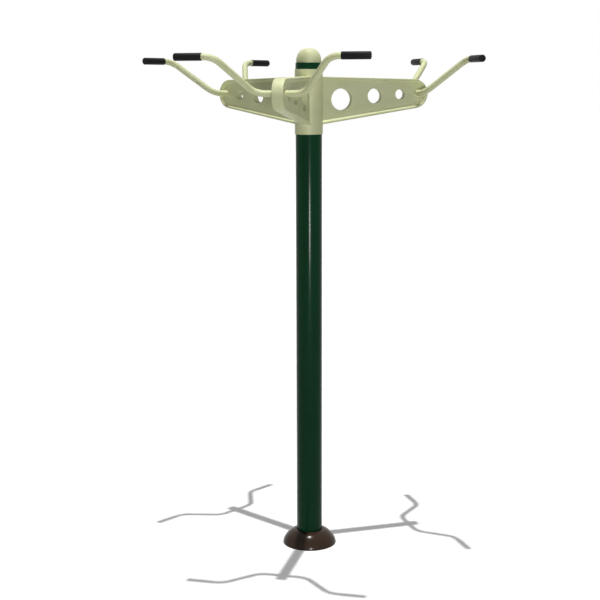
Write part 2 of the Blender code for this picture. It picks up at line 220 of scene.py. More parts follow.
def makeCamera():
    bpy.ops.object.camera_add()
    camera = bpy.context.object
    turn = math.radians(cameraSizes["azimuth"])
    reach = cameraSizes["distance"]
    camera.location = (reach * math.sin(turn), -reach * math.cos(turn), cameraSizes["height"])
    heading = Matrix.Rotation(turn + math.radians(cameraSizes["aim"]), 3, "Z")
    tilt = Matrix.Rotation(math.radians(90 - cameraSizes["tilt"]), 3, "X")
    roll = Matrix.Rotation(math.radians(cameraSizes["roll"]), 3, "Z")
    camera.rotation_euler = (heading @ tilt @ roll).to_euler()
    camera.data.lens = cameraSizes["lens"]
    camera.data.sensor_width = cameraSizes["sensor"]
    bpy.context.scene.camera = camera
    bpy.context.scene.view_settings.view_transform = "Standard"


makeCamera()
print("camera placed")


# Materials


def linearColour(code):
    # sRGB hex to the linear colour that a shader takes
    channels = [int(code[i : i + 2], 16) / 255 for i in (1, 3, 5)]
    linear = [c / 12.92 if c <= 0.04045 else ((c + 0.055) / 1.055) ** 2.4 for c in channels]
    return (*linear, 1)


def newMaterial(name):
    material = bpy.data.materials.new(name)
    material.use_nodes = True
    material.node_tree.nodes.clear()
    return material


def addNode(material, kind, inputs=None, **settings):
    # a node with its settings, its values, and its links where a value is another node's socket
    node = material.node_tree.nodes.new(kind)
    for key, value in settings.items():
        setattr(node, key, value)
    for key, value in (inputs or {}).items():
        if isinstance(value, bpy.types.NodeSocket):
            material.node_tree.links.new(value, node.inputs[key])
        else:
            node.inputs[key].default_value = value
    return node


noiseSpan = (0.3, 0.7)  # most of a noise pattern lies between these values


def paintedMetal(name, look):
    # powder coat: a fused paint skin with orange peel, slight cloudiness and uneven gloss
    material = newMaterial(name)
    place = addNode(material, "ShaderNodeTexCoord").outputs["Object"]
    cloud = addNode(
        material,
        "ShaderNodeTexNoise",
        {"Vector": place, "Scale": 1 / look["cloudSize"], "Detail": 3.0, "Roughness": 0.55},
    )
    spread = addNode(
        material,
        "ShaderNodeMapRange",
        {
            "Value": cloud.outputs["Fac"],
            "From Min": look["cloudSpan"][0],
            "From Max": look["cloudSpan"][1],
        },
    )
    colour = addNode(
        material,
        "ShaderNodeMix",
        {
            "Factor": spread.outputs["Result"],
            6: linearColour(look["colour"]),
            7: linearColour(look["thin"]),
        },
        data_type="RGBA",
    )
    gloss = addNode(
        material,
        "ShaderNodeTexNoise",
        {"Vector": place, "Scale": 1 / look["glossSize"], "Detail": 2.0},
    )
    roughness = addNode(
        material,
        "ShaderNodeMapRange",
        {
            "Value": gloss.outputs["Fac"],
            "From Min": noiseSpan[0],
            "From Max": noiseSpan[1],
            "To Min": look["roughness"][0],
            "To Max": look["roughness"][1],
        },
    )
    peel = addNode(
        material,
        "ShaderNodeTexNoise",
        {"Vector": place, "Scale": 1 / look["peelSize"], "Detail": 1.0, "Roughness": 0.4},
    )
    skin = addNode(
        material,
        "ShaderNodeBump",
        {"Height": peel.outputs["Fac"], "Distance": look["peelDepth"], "Strength": 1.0},
    )
    shader = addNode(
        material,
        "ShaderNodeBsdfPrincipled",
        {
            "Base Color": colour.outputs[2],
            "Roughness": roughness.outputs["Result"],
            "Normal": skin.outputs["Normal"],
            "IOR": look["ior"],
            "Specular IOR Level": look["specular"],
        },
    )
    addNode(material, "ShaderNodeOutputMaterial", {"Surface": shader.outputs["BSDF"]})
    return material


creamLook = {
    "colour": "#dbdfb1",
    "thin": "#d6d9a8",
    "cloudSize": 0.09,
    "cloudSpan": (0.35, 0.65),
    "glossSize": 0.03,
    "roughness": (0.46, 0.53),
    "peelSize": 0.0024,  # orange peel on powder coat is 2 to 3 mm across
    "peelDepth": 0.000008,
    "ior": 1.5,
    "specular": 0.36,
}
greenLook = {
    "colour": "#033d21",
    "thin": "#03391e",
    "cloudSize": 0.12,
    "cloudSpan": (0.35, 0.65),
    "glossSize": 0.04,
    "roughness": (0.175, 0.205),
    "peelSize": 0.0024,
    "peelDepth": 0.000006,
    "ior": 1.5,
    "specular": 0.07,  # low, as the photograph's tube shows little of its pale surroundings
}

# satin polyester powder coat: an even pale cream with a soft broad shine
creamCoat = paintedMetal("Cream satin powder coat", creamLook)
# gloss polyester powder coat: very dark green with a narrower shine down the tube
greenCoat = paintedMetal("Dark green gloss powder coat", greenLook)

plasticLook = {
    "colour": "#35271e",
    "dust": "#453a30",
    "dustTop": 0.03,  # how high the dusting reaches
    "dustShare": 0.5,
    "flowSize": 0.05,
    "flowBend": 0.6,
    "roughness": (0.18, 0.23),
    "ior": 1.49,
    "specular": 0.1,
}


def mouldedPlastic():
    # glossy moulded polypropylene: smooth, dark, with faint flow clouds and a dusting low down
    material = newMaterial("Brown gloss moulded plastic")
    place = addNode(material, "ShaderNodeTexCoord").outputs["Object"]
    flow = addNode(
        material,
        "ShaderNodeTexNoise",
        {
            "Vector": place,
            "Scale": 1 / plasticLook["flowSize"],
            "Detail": 3.0,
            "Distortion": plasticLook["flowBend"],
        },
    )
    height = addNode(material, "ShaderNodeSeparateXYZ", {"Vector": place}).outputs["Z"]
    low = addNode(
        material,
        "ShaderNodeMapRange",
        {
            "Value": height,
            "From Min": plasticLook["dustTop"],
            "From Max": 0.0,
            "To Max": plasticLook["dustShare"],
        },
    )
    dust = addNode(
        material,
        "ShaderNodeMath",
        {0: low.outputs["Result"], 1: flow.outputs["Fac"]},
        operation="MULTIPLY",
    )
    colour = addNode(
        material,
        "ShaderNodeMix",
        {
            "Factor": dust.outputs["Value"],
            6: linearColour(plasticLook["colour"]),
            7: linearColour(plasticLook["dust"]),
        },
        data_type="RGBA",
    )
    roughness = addNode(
        material,
        "ShaderNodeMapRange",
        {
            "Value": flow.outputs["Fac"],
            "From Min": noiseSpan[0],
            "From Max": noiseSpan[1],
            "To Min": plasticLook["roughness"][0],
            "To Max": plasticLook["roughness"][1],
        },
    )
    shader = addNode(
        material,
        "ShaderNodeBsdfPrincipled",
        {
            "Base Color": colour.outputs[2],
            "Roughness": roughness.outputs["Result"],
            "IOR": plasticLook["ior"],
            "Specular IOR Level": plasticLook["specular"],
        },
    )
    addNode(material, "ShaderNodeOutputMaterial", {"Surface": shader.outputs["BSDF"]})
    return material


brownPlastic = mouldedPlastic()

rubberLook = {
    "colour": "#101012",
    "worn": "#161618",
    "bloomSize": 0.02,
    "roughness": (0.42, 0.52),
    "grainSize": 0.0014,  # about twice the real stipple, so that it shows
    "grainDepth": 0.00003,
    "ior": 1.5,
    "specular": 0.1,
}


def gripRubber():
    # moulded EPDM rubber: near black, dull, with a fine stipple from the mould
    material = newMaterial("Black moulded rubber")
    place = addNode(material, "ShaderNodeTexCoord").outputs["Object"]
    bloom = addNode(
        material,
        "ShaderNodeTexNoise",
        {"Vector": place, "Scale": 1 / rubberLook["bloomSize"], "Detail": 3.0},
    )
    colour = addNode(
        material,
        "ShaderNodeMix",
        {
            "Factor": bloom.outputs["Fac"],
            6: linearColour(rubberLook["colour"]),
            7: linearColour(rubberLook["worn"]),
        },
        data_type="RGBA",
    )
    roughness = addNode(
        material,
        "ShaderNodeMapRange",
        {
            "Value": bloom.outputs["Fac"],
            "From Min": noiseSpan[0],
            "From Max": noiseSpan[1],
            "To Min": rubberLook["roughness"][0],
            "To Max": rubberLook["roughness"][1],
        },
    )
    grain = addNode(
        material,
        "ShaderNodeTexVoronoi",
        {"Vector": place, "Scale": 1 / rubberLook["grainSize"]},
    )
    skin = addNode(
        material,
        "ShaderNodeBump",
        {
            "Height": grain.outputs["Distance"],
            "Distance": rubberLook["grainDepth"],
            "Strength": 0.5,
        },
    )
    shader = addNode(
        material,
        "ShaderNodeBsdfPrincipled",
        {
            "Base Color": colour.outputs[2],
            "Roughness": roughness.outputs["Result"],
            "Normal": skin.outputs["Normal"],
            "IOR": rubberLook["ior"],
            "Specular IOR Level": rubberLook["specular"],
        },
    )
    addNode(material, "ShaderNodeOutputMaterial", {"Surface": shader.outputs["BSDF"]})
    return material


blackRubber = gripRubber()

zincLook = {
    "colour": "#c3c6ca",
    "dull": "#a9adb1",
    "spangleSize": 0.011,  # crystals on hot-dipped zinc are about 1 cm across
    "roughness": (0.3, 0.5),
}


def zincSteel():
    # zinc coated steel, hot dipped: grey metal with crystal spangle, duller in patches
    material = newMaterial("Zinc plated steel")
    place = addNode(material, "ShaderNodeTexCoord").outputs["Object"]
    spangle = addNode(
        material, "ShaderNodeTexVoronoi", {"Vector": place, "Scale": 1 / zincLook["spangleSize"]}
    )
    tone = addNode(
        material, "ShaderNodeSeparateColor", {"Color": spangle.outputs["Color"]}
    ).outputs["Red"]
    colour = addNode(
        material,
        "ShaderNodeMix",
        {
            "Factor": tone,
            6: linearColour(zincLook["colour"]),
            7: linearColour(zincLook["dull"]),
        },
        data_type="RGBA",
    )
    roughness = addNode(
        material,
        "ShaderNodeMapRange",
        {"Value": tone, "To Min": zincLook["roughness"][0], "To Max": zincLook["roughness"][1]},
    )
    shader = addNode(
        material,
        "ShaderNodeBsdfPrincipled",
        {
            "Base Color": colour.outputs[2],
            "Metallic": 1.0,
            "Roughness": roughness.outputs["Result"],
        },
    )
    addNode(material, "ShaderNodeOutputMaterial", {"Surface": shader.outputs["BSDF"]})
    return material


zincPlate = zincSteel()
print("materials made")


# Floor, sky and lamps

stageSizes = {
    "floorSize": 80,
    "floorShade": 0.355,  # as the light finds it
    "floorSeen": 0.7,  # as the camera and reflections see it
    "floorGlow": 0.305,  # lifts the floor to white for the camera and in reflections only
    "sky": 0.05,
    "sun": 3.45,
    "sunSpread": 0.6,  # degrees across
    "sunLean": 2.35,  # degrees from overhead, towards the camera
}
# upright strip lamps, turned in degrees to the right of the camera
lampPlace = {"turn": 6.6, "reach": 7.0, "width": 0.2, "aimHeight": 1.7}
softLamps = (
    {"height": 1.36, "tall": 0.75, "power": 112, "lights": True},
    # this one shows only as a shine on the tubes
    {"height": 1.47, "tall": 1.15, "power": 250, "lights": False},
)


def seenRays(material):
    # 1 for rays from the camera and for those in reflections and glass
    path = addNode(material, "ShaderNodeLightPath")
    mirrored = addNode(
        material,
        "ShaderNodeMath",
        {0: path.outputs["Is Glossy Ray"], 1: path.outputs["Is Transmission Ray"]},
        operation="MAXIMUM",
    )
    seen = addNode(
        material,
        "ShaderNodeMath",
        {0: path.outputs["Is Camera Ray"], 1: mirrored.outputs["Value"]},
        operation="MAXIMUM",
    )
    return seen.outputs["Value"]


def makeFloor():
    bpy.ops.mesh.primitive_plane_add(size=stageSizes["floorSize"])
    floor = newPiece("studio_floor")
    material = newMaterial("Pale studio floor")
    seen = seenRays(material)
    shade = addNode(
        material,
        "ShaderNodeMapRange",
        {"Value": seen, "To Min": stageSizes["floorShade"], "To Max": stageSizes["floorSeen"]},
    )
    matt = addNode(material, "ShaderNodeBsdfDiffuse", {"Color": shade.outputs["Result"]})
    level = addNode(
        material, "ShaderNodeMath", {0: seen, 1: stageSizes["floorGlow"]}, operation="MULTIPLY"
    )
    glow = addNode(material, "ShaderNodeEmission", {"Strength": level.outputs["Value"]})
    both = addNode(
        material, "ShaderNodeAddShader", {0: matt.outputs["BSDF"], 1: glow.outputs["Emission"]}
    )
    addNode(material, "ShaderNodeOutputMaterial", {"Surface": both.outputs["Shader"]})
    floor.data.materials.append(material)


def makeSky():
    world = bpy.data.worlds.new("Studio")
    bpy.context.scene.world = world
    world.use_nodes = True
    world.node_tree.nodes.clear()
    light = addNode(world, "ShaderNodeBackground", {"Strength": stageSizes["sky"]})
    backdrop = addNode(world, "ShaderNodeBackground", {"Color": (1, 1, 1, 1), "Strength": 1.0})
    chosen = addNode(
        world,
        "ShaderNodeMixShader",
        {0: seenRays(world), 1: light.outputs[0], 2: backdrop.outputs[0]},
    )
    addNode(world, "ShaderNodeOutputWorld", {"Surface": chosen.outputs[0]})


def makeLamps():
    turn = math.radians(cameraSizes["azimuth"])
    bpy.ops.object.light_add(type="SUN", rotation=(math.radians(stageSizes["sunLean"]), 0, turn))
    sun = bpy.context.object
    sun.data.energy = stageSizes["sun"]
    sun.data.angle = math.radians(stageSizes["sunSpread"])
    side = turn + math.radians(lampPlace["turn"])
    reach = lampPlace["reach"]
    aim = Vector((0, 0, lampPlace["aimHeight"]))
    for lamp in softLamps:
        place = Vector((reach * math.sin(side), -reach * math.cos(side), lamp["height"]))
        bpy.ops.object.light_add(type="AREA", location=place)
        soft = bpy.context.object
        soft.rotation_euler = (aim - place).to_track_quat("-Z", "Y").to_euler()
        soft.data.shape = "RECTANGLE"
        soft.data.size = lampPlace["width"]
        soft.data.size_y = lamp["tall"]
        soft.data.energy = lamp["power"]
        soft.visible_diffuse = lamp["lights"]


makeFloor()
makeSky()
makeLamps()
print("floor, sky and lamps made")


# Post, hub sleeve, cap and foot cover

tubeSizes = {
    "sides": 128,
    "postWall": 0.005,
    "postEdge": 0.0006,
    "sleeveWall": 0.0032,
    "sleeveEdge": 0.0018,
    "boltHole": 0.0053,
    "boltCut": 0.030,  # how long the cutter for a bolt's hole is
}


def makeTube(name, node, wall, edge):
    low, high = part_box(node)
    bpy.ops.mesh.primitive_cylinder_add(
        vertices=tubeSizes["sides"],
        radius=(high.x - low.x) / 2,
        depth=high.z - low.z,
        end_fill_type="NOTHING",
        location=(0, 0, (low.z + high.z) / 2),
    )
    tube = newPiece(name)
    addWall(tube, wall)
    for bolt in ("hub_bolt_1", "hub_bolt_2"):
        boltLow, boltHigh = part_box(bolt)
        place = (0, (low.y + high.y) / 2 + (high.x - low.x) / 2, (boltLow.z + boltHigh.z) / 2)
        turn = (math.radians(90), 0, 0)
        cutWith(tube, addCutter(tubeSizes["boltHole"], tubeSizes["boltCut"], place, rotation=turn))
    roundEdges(tube, edge, angle=60)
    return tube


def makePost():
    post = makeTube("post_tube", "post", tubeSizes["postWall"], tubeSizes["postEdge"])
    finishPiece(post, greenCoat, "station", ["post"])


def makeSleeve():
    sleeve = makeTube("hub_tube", "hub_sleeve", tubeSizes["sleeveWall"], tubeSizes["sleeveEdge"])
    finishPiece(sleeve, creamCoat, "station", ["hub_sleeve"])


capSizes = {
    "sides": 128,
    "lip": 0.006,
    "skirt": 0.025,
    "skirtRadius": 0.0552,
    "wall": 0.003,
    "edge": 0.001,
    "crownPower": 2.0,  # 2 is round, more is fuller
    "rimPower": 2.8,
    "rings": 28,
}


def makeCap():
    low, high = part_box("top_cap")
    radius = (high.x - low.x) / 2
    seat = low.z + capSizes["skirt"]
    spring = seat + capSizes["lip"]
    bpy.ops.mesh.primitive_circle_add(
        vertices=capSizes["sides"], radius=radius, location=(0, 0, spring)
    )
    cap = newPiece("cap_dome")
    powers = capSizes["crownPower"], capSizes["rimPower"]
    dome = domeRings(radius, high.z - spring, *powers, capSizes["rings"])[:-1]
    startEdit(cap)
    drawRings([(out, spring + up) for out, up in dome], (radius, spring))
    bpy.ops.mesh.extrude_edges_move(
        TRANSFORM_OT_translate={"value": (0, 0, high.z - spring - dome[-1][1])}
    )
    bpy.ops.mesh.merge(type="CENTER")
    pick(cap, "EDGE", lambda edge: edge.is_boundary)
    inner = capSizes["skirtRadius"]
    drawRings([(radius, seat), (inner, seat), (inner, low.z)], (radius, spring))
    bpy.ops.mesh.select_all(action="SELECT")
    bpy.ops.mesh.normals_make_consistent(inside=False)
    endEdit()
    addWall(cap, capSizes["wall"])
    roundEdges(cap, capSizes["edge"], angle=60)
    finishPiece(cap, creamCoat, "station", ["top_cap"])


coverSizes = {
    "sides": 160,
    "collar": 0.0615,
    "wall": 0.003,
    "edge": 0.001,
    "crownPower": 1.6,
    "rimPower": 1.6,
    "rings": 36,
}


def makeCover():
    low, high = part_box("base_cover")
    radius = (high.x - low.x) / 2
    collar = coverSizes["collar"]
    bpy.ops.mesh.primitive_circle_add(vertices=coverSizes["sides"], radius=radius)
    cover = newPiece("foot_cover")
    powers = coverSizes["crownPower"], coverSizes["rimPower"]
    dome = domeRings(radius - collar, high.z, *powers, coverSizes["rings"])
    startEdit(cover)
    drawRings([(collar + out, up) for out, up in dome], (radius, 0))
    bpy.ops.mesh.select_all(action="SELECT")
    bpy.ops.mesh.normals_make_consistent(inside=False)
    endEdit()
    addWall(cover, coverSizes["wall"])
    roundEdges(cover, coverSizes["edge"], angle=50)
    finishPiece(cover, brownPlastic, "cover", ["base_cover"], angle=50)


footSizes = {
    "plateSides": 128,
    "plateEdge": 0.0012,
    "plateHole": 0.009,
    "plateCut": 0.1,  # how long the cutters are, well past the wall
    "washerCut": 0.02,
    "nutCut": 0.05,
    "studSides": 32,
    "studEdge": 0.0015,
    "threadPitch": 0.002,
    "threadDepth": 0.0008,
    "threadFrom": 0.014,
    "fit": 0.0003,
    "washerSides": 48,
    "washerEdge": 0.0005,
    "nutSides": 64,  # of the round blank that takes the corners off
    "nutTurn": 15,  # degrees
    "nutChamfer": 0.0016,
    "gussetTop": 0.010,
    "gussetToe": 0.006,
    "gussetSnipe": 0.007,  # the corner left open over the weld
    "gussetEdge": 0.0008,
    "weldSides": 96,
    "bead": 0.0024,
}


def makePlate():
    low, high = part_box("base_plate")
    middle = (low + high) / 2
    bpy.ops.mesh.primitive_cylinder_add(
        vertices=footSizes["plateSides"],
        radius=(high.x - low.x) / 2,
        depth=high.z - low.z,
        location=middle,
    )
    plate = newPiece("foot_plate")
    for number in range(1, 5):
        studLow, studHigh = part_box(f"anchor_stud_{number}")
        place = (studLow + studHigh) / 2
        cutWith(plate, addCutter(footSizes["plateHole"], footSizes["plateCut"], place))
    roundEdges(plate, footSizes["plateEdge"], angle=60)
    finishPiece(plate, greenCoat, "station", ["base_plate"])


def threadRings(radius, low, high):
    # ridges of a screw thread, drawn as rings
    rings = []
    height = low
    while height < high:
        rings.append((radius, height))
        rings.append((radius - footSizes["threadDepth"], height + footSizes["threadPitch"] / 2))
        height += footSizes["threadPitch"]
    return rings


def makeStud():
    low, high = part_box("anchor_stud_1")
    radius = (high.x - low.x) / 2
    edge = footSizes["studEdge"]
    middle = (low + high) / 2
    bpy.ops.mesh.primitive_circle_add(
        vertices=footSizes["studSides"], radius=radius - edge, location=(0, 0, low.z)
    )
    stud = newPiece("stud_shape")
    startEdit(stud)
    rings = [(radius, low.z + edge)]
    rings += threadRings(radius, footSizes["threadFrom"], high.z - 2 * edge)
    rings += [(radius - edge, high.z)]
    drawRings(rings, (radius - edge, low.z))
    bpy.ops.mesh.edge_face_add()
    pick(stud, "EDGE", lambda each: each.is_boundary)
    bpy.ops.mesh.edge_face_add()
    bpy.ops.mesh.select_all(action="SELECT")
    bpy.ops.transform.translate(value=(middle.x, middle.y, 0))
    bpy.ops.mesh.normals_make_consistent(inside=False)
    endEdit()
    return stud, radius


def makeWasher(bore):
    low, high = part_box("anchor_washer_1")
    middle = (low + high) / 2
    bpy.ops.mesh.primitive_cylinder_add(
        vertices=footSizes["washerSides"],
        radius=(high.x - low.x) / 2,
        depth=high.z - low.z,
        location=middle,
    )
    washer = newPiece("washer_shape")
    cutWith(washer, addCutter(bore, footSizes["washerCut"], middle))
    roundEdges(washer, footSizes["washerEdge"], angle=60)
    return washer


def makeNut(bore):
    # a hexagon whose corners are turned off, as on a lathe
    low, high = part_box("anchor_nut_1")
    middle = (low + high) / 2
    turn = math.radians(footSizes["nutTurn"])
    corner = max(high.x - low.x, high.y - low.y) / 2 / math.cos(turn)
    depth = high.z - low.z
    bpy.ops.mesh.primitive_cylinder_add(
        vertices=6, radius=corner, depth=depth, location=middle, rotation=(0, 0, turn)
    )
    nut = newPiece("nut_shape")
    blank = addCutter(corner, depth, middle, vertices=footSizes["nutSides"])
    startEdit(blank)
    pick(blank, "EDGE", lambda edge: near(edge.verts[0].co.z, edge.verts[1].co.z))
    bpy.ops.mesh.bevel(offset=footSizes["nutChamfer"], segments=1, affect="EDGES")
    endEdit()
    cutWith(nut, blank, "INTERSECT")
    cutWith(nut, addCutter(bore, footSizes["nutCut"], middle))
    return nut


def makeGusset():
    low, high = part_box("base_gusset_1")
    bpy.ops.mesh.primitive_cube_add(size=1, location=(low + high) / 2, scale=high - low)
    gusset = newPiece("gusset_shape")
    startEdit(gusset)
    run = high.y - footSizes["gussetTop"] - low.y
    rise = high.z - low.z - footSizes["gussetToe"]
    outward = Vector((0, -rise, run)).normalized()
    toe = (0, low.y, low.z + footSizes["gussetToe"])
    bpy.ops.mesh.bisect(plane_co=toe, plane_no=outward, clear_outer=True, use_fill=True)
    bpy.ops.mesh.select_all(action="SELECT")
    heel = (0, high.y - footSizes["gussetSnipe"], low.z)
    bpy.ops.mesh.bisect(plane_co=heel, plane_no=(0, 1, -1), clear_outer=True, use_fill=True)
    bpy.ops.mesh.select_all(action="SELECT")
    bpy.ops.mesh.normals_make_consistent(inside=False)
    endEdit()
    side = (high.x - low.x) / 2
    bead = beadAlong(
        gusset,
        "gusset_bead",
        lambda edge: all(near(abs(v.co.x), side) for v in edge.verts)
        and near(edge.verts[0].co.x, edge.verts[1].co.x)
        and (
            all(near(v.co.z, low.z) for v in edge.verts)
            or all(near(v.co.y, high.y) for v in edge.verts)
        ),
        footSizes["bead"],
    )
    roundEdges(gusset, footSizes["gussetEdge"])
    return gusset, bead


def makePostWeld():
    low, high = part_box("post")
    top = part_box("base_plate")[1].z
    bpy.ops.mesh.primitive_circle_add(
        vertices=footSizes["weldSides"], radius=(high.x - low.x) / 2, location=(0, 0, top)
    )
    guide = newPiece("post_weld_guide")
    bead = beadAlong(guide, "post_bead", lambda edge: True, footSizes["bead"])
    bpy.data.objects.remove(guide, do_unlink=True)
    return bead


def makeFoot():
    makePlate()
    stud, radius = makeStud()
    bore = radius + footSizes["fit"]
    washer = makeWasher(bore)
    nut = makeNut(bore)
    gusset, bead = makeGusset()
    beads = []
    for number in range(1, 5):
        turn = math.radians(90 * (number - 1))
        for shape, name in ((stud, "anchor_stud"), (washer, "anchor_washer"), (nut, "anchor_nut")):
            piece = turnedCopy(shape, f"{name}_fine_{number}", turn)
            finishPiece(piece, zincPlate, "station", [f"{name}_{number}"])
        rib = turnedCopy(gusset, f"foot_gusset_{number}", turn)
        finishPiece(rib, greenCoat, "station", [f"base_gusset_{number}"])
        beads.append(turnedCopy(bead, "gusset_bead_copy", turn))
    welds = makePostWeld()
    joinTo(welds, beads)
    welds.name = "foot_welds"
    welds.data.name = "foot_welds"
    finishPiece(welds, greenCoat, "station", angle=70)
    for piece in (stud, washer, nut, gusset, bead):
        bpy.data.objects.remove(piece, do_unlink=True)


boltSizes = {
    "sides": 48,
    "shank": 0.005,
    "head": 0.010,
    "headHeight": 0.006,
    "headLip": 0.0012,
    "headRound": 0.45,  # share of the head's radius that is domed
    "edge": 0.0002,
    "socket": 0.0035,  # from the middle to a corner
    "socketDepth": 0.0035,
    "thread": 0.020,
    "rings": 8,
}


def makeHubBolts():
    # button heads with a hexagon socket, drawn upwards and then laid along +Y
    low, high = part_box("hub_bolt_1")
    face = high.y - boltSizes["headHeight"]
    head = boltSizes["head"]
    shank = boltSizes["shank"]
    bpy.ops.mesh.primitive_circle_add(
        vertices=boltSizes["sides"], radius=head, location=(0, 0, face)
    )
    bolt = newPiece("bolt_shape")
    startEdit(bolt)
    lip = face + boltSizes["headLip"]
    flat = head * (1 - boltSizes["headRound"])
    dome = domeRings(head - flat, high.y - lip, 2, 2, boltSizes["rings"])
    rings = [(head, lip)] + [(flat + out, lip + up) for out, up in dome]
    drawRings(rings, (head, face))
    bpy.ops.mesh.edge_face_add()
    pick(bolt, "EDGE", lambda edge: edge.is_boundary)
    threadEnd = low.y + boltSizes["thread"]
    ridges = threadRings(shank, low.y, threadEnd)[::-1]
    drawRings([(shank, face), (shank, threadEnd + footSizes["threadPitch"])] + ridges, (head, face))
    bpy.ops.mesh.edge_face_add()
    bpy.ops.mesh.select_all(action="SELECT")
    bpy.ops.mesh.normals_make_consistent(inside=False)
    endEdit()
    depth = boltSizes["socketDepth"]
    cutWith(bolt, addCutter(boltSizes["socket"], depth * 2, (0, 0, high.y), vertices=6))
    roundEdges(bolt, boltSizes["edge"], segments=2, angle=50)
    for number in (1, 2):
        boltLow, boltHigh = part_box(f"hub_bolt_{number}")
        piece = turnedCopy(bolt, f"hub_bolt_fine_{number}", 0)
        piece.rotation_euler = (math.radians(-90), 0, 0)
        piece.location = (0, 0, (boltLow.z + boltHigh.z) / 2)
        applyPlace(piece)
        finishPiece(piece, zincPlate, "station", [f"hub_bolt_{number}"])
    bpy.data.objects.remove(bolt, do_unlink=True)


makePost()
makeSleeve()
makeCap()
makeCover()
makeFoot()
makeHubBolts()
print("post, hub, cover and foot made")


# Arms, each made along +X and turned to its place

armSizes = {
    "noseReach": 0.505,
    "noseHeight": 2.141,
    "noseRadius": 0.0673,
    "noseSides": 160,
    "bandWidth": 0.050,
    "bandThickness": 0.010,
    "webWidth": 0.034,
    "rootTop": 2.219,
    "rootBottom": 2.005,
    "hubRadius": 0.064,
    "hubSides": 128,
    "hubCut": 0.4,  # how long the cutter for the hub is
    "rootStart": 0.04,  # where the arm starts before the hub is cut from it
    "rootDepth": 0.0015,  # how far the arm's root sits in the hub's wall
    "rootCorner": 0.7,  # radians; only edges that turn more than this get the root bead
    # place along the arm, height and radius against its depth there
    "holes": ((0.200, 0.495, 0.250), (0.564, 0.520, 0.201), (0.848, 0.516, 0.158)),
    "holeSides": 96,
    "bandEdge": 0.0025,
    "holeEdge": 0.0045,
    "fillet": 0.0070,
    "filletSink": 0.0003,
    "filletEdge": 0.001,
    "rootBead": 0.003,
}
nose = Vector((armSizes["noseReach"], 0, armSizes["noseHeight"]))


def edgeAngle(rootHeight, side):
    # where the arm's upper (1) or lower (-1) straight edge leaves the round nose
    back = armSizes["hubRadius"] - armSizes["noseReach"]
    rise = rootHeight - armSizes["noseHeight"]
    return math.atan2(rise, back) - side * math.acos(armSizes["noseRadius"] / math.hypot(back, rise))


def edgeHeight(rootHeight, side, reach):
    angle = edgeAngle(rootHeight, side)
    run = (reach - armSizes["noseReach"]) * math.cos(angle)
    return armSizes["noseHeight"] + (armSizes["noseRadius"] - run) / math.sin(angle)


def edgeStrip(name, radius, width):
    # an open tube at the nose, cut back to its front, its two ends drawn out to the hub
    bpy.ops.mesh.primitive_cylinder_add(
        vertices=armSizes["noseSides"],
        radius=radius,
        depth=width,
        end_fill_type="NOTHING",
        location=nose,
        rotation=(math.radians(90), 0, 0),
    )
    strip = newPiece(name)
    startEdit(strip)
    ends = []
    for rootHeight, side in ((armSizes["rootTop"], 1), (armSizes["rootBottom"], -1)):
        angle = edgeAngle(rootHeight, side)
        forward = Vector((math.sin(angle), 0, -math.cos(angle))) * side
        bpy.ops.mesh.select_all(action="SELECT")
        bpy.ops.mesh.bisect(plane_co=nose, plane_no=forward, clear_inner=True)
        ends.append((forward, nose + Vector((math.cos(angle), 0, math.sin(angle))) * radius))
    for forward, start in ends:
        pick(
            strip,
            "EDGE",
            lambda edge: all(near(v.co.x, start.x) and near(v.co.z, start.z) for v in edge.verts),
        )
        draw = forward * (-(start.x - armSizes["rootStart"]) / forward.x)
        bpy.ops.mesh.extrude_edges_move(TRANSFORM_OT_translate={"value": draw})
    bpy.ops.mesh.select_all(action="SELECT")
    bpy.ops.mesh.normals_make_consistent(inside=False)
    endEdit()
    return strip


def hubCutter():
    radius = armSizes["hubRadius"] - armSizes["rootDepth"]
    place = (0, 0, armSizes["noseHeight"])
    return addCutter(radius, armSizes["hubCut"], place, vertices=armSizes["hubSides"])


def makeArmBody():
    band = edgeStrip("arm_band_shape", armSizes["noseRadius"], armSizes["bandWidth"])
    addWall(band, armSizes["bandThickness"])
    roundEdges(band, armSizes["bandEdge"])
    sunk = armSizes["noseRadius"] - armSizes["bandThickness"] / 2
    web = edgeStrip("arm_web_shape", sunk, armSizes["webWidth"])
    startEdit(web)
    start = armSizes["rootStart"]
    pick(web, "EDGE", lambda edge: all(near(v.co.x, start) for v in edge.verts))
    bpy.ops.mesh.edge_face_add()
    for side in (1, -1):
        half = side * armSizes["webWidth"] / 2
        pick(
            web,
            "EDGE",
            lambda edge: edge.is_boundary and all(near(v.co.y, half) for v in edge.verts),
        )
        bpy.ops.mesh.edge_face_add()
    bpy.ops.mesh.select_all(action="SELECT")
    bpy.ops.mesh.normals_make_consistent(inside=False)
    endEdit()
    for share, heightShare, radiusShare in armSizes["holes"]:
        reach = armSizes["hubRadius"] + share * (armSizes["noseReach"] - armSizes["hubRadius"])
        top = edgeHeight(armSizes["rootTop"], 1, reach)
        bottom = edgeHeight(armSizes["rootBottom"], -1, reach)
        place = (reach, 0, bottom + heightShare * (top - bottom))
        turn = (math.radians(90), 0, 0)
        radius = radiusShare * (top - bottom)
        sides = armSizes["holeSides"]
        cutWith(web, addCutter(radius, armSizes["bandWidth"], place, sides, turn))
    roundEdges(web, armSizes["holeEdge"], segments=6, angle=60)
    root = armSizes["hubRadius"] - armSizes["rootDepth"]
    rootBeads = []
    for part in (band, web):
        cutWith(part, hubCutter())
        rootBeads.append(
            beadAlong(
                part,
                "root_bead",
                lambda edge: edge.is_manifold
                and edge.calc_face_angle() > armSizes["rootCorner"]
                and all(near(math.hypot(v.co.x, v.co.y), root, 0.0002) for v in edge.verts),
                armSizes["rootBead"],
            )
        )
    joinTo(band, [web])
    return band, rootBeads


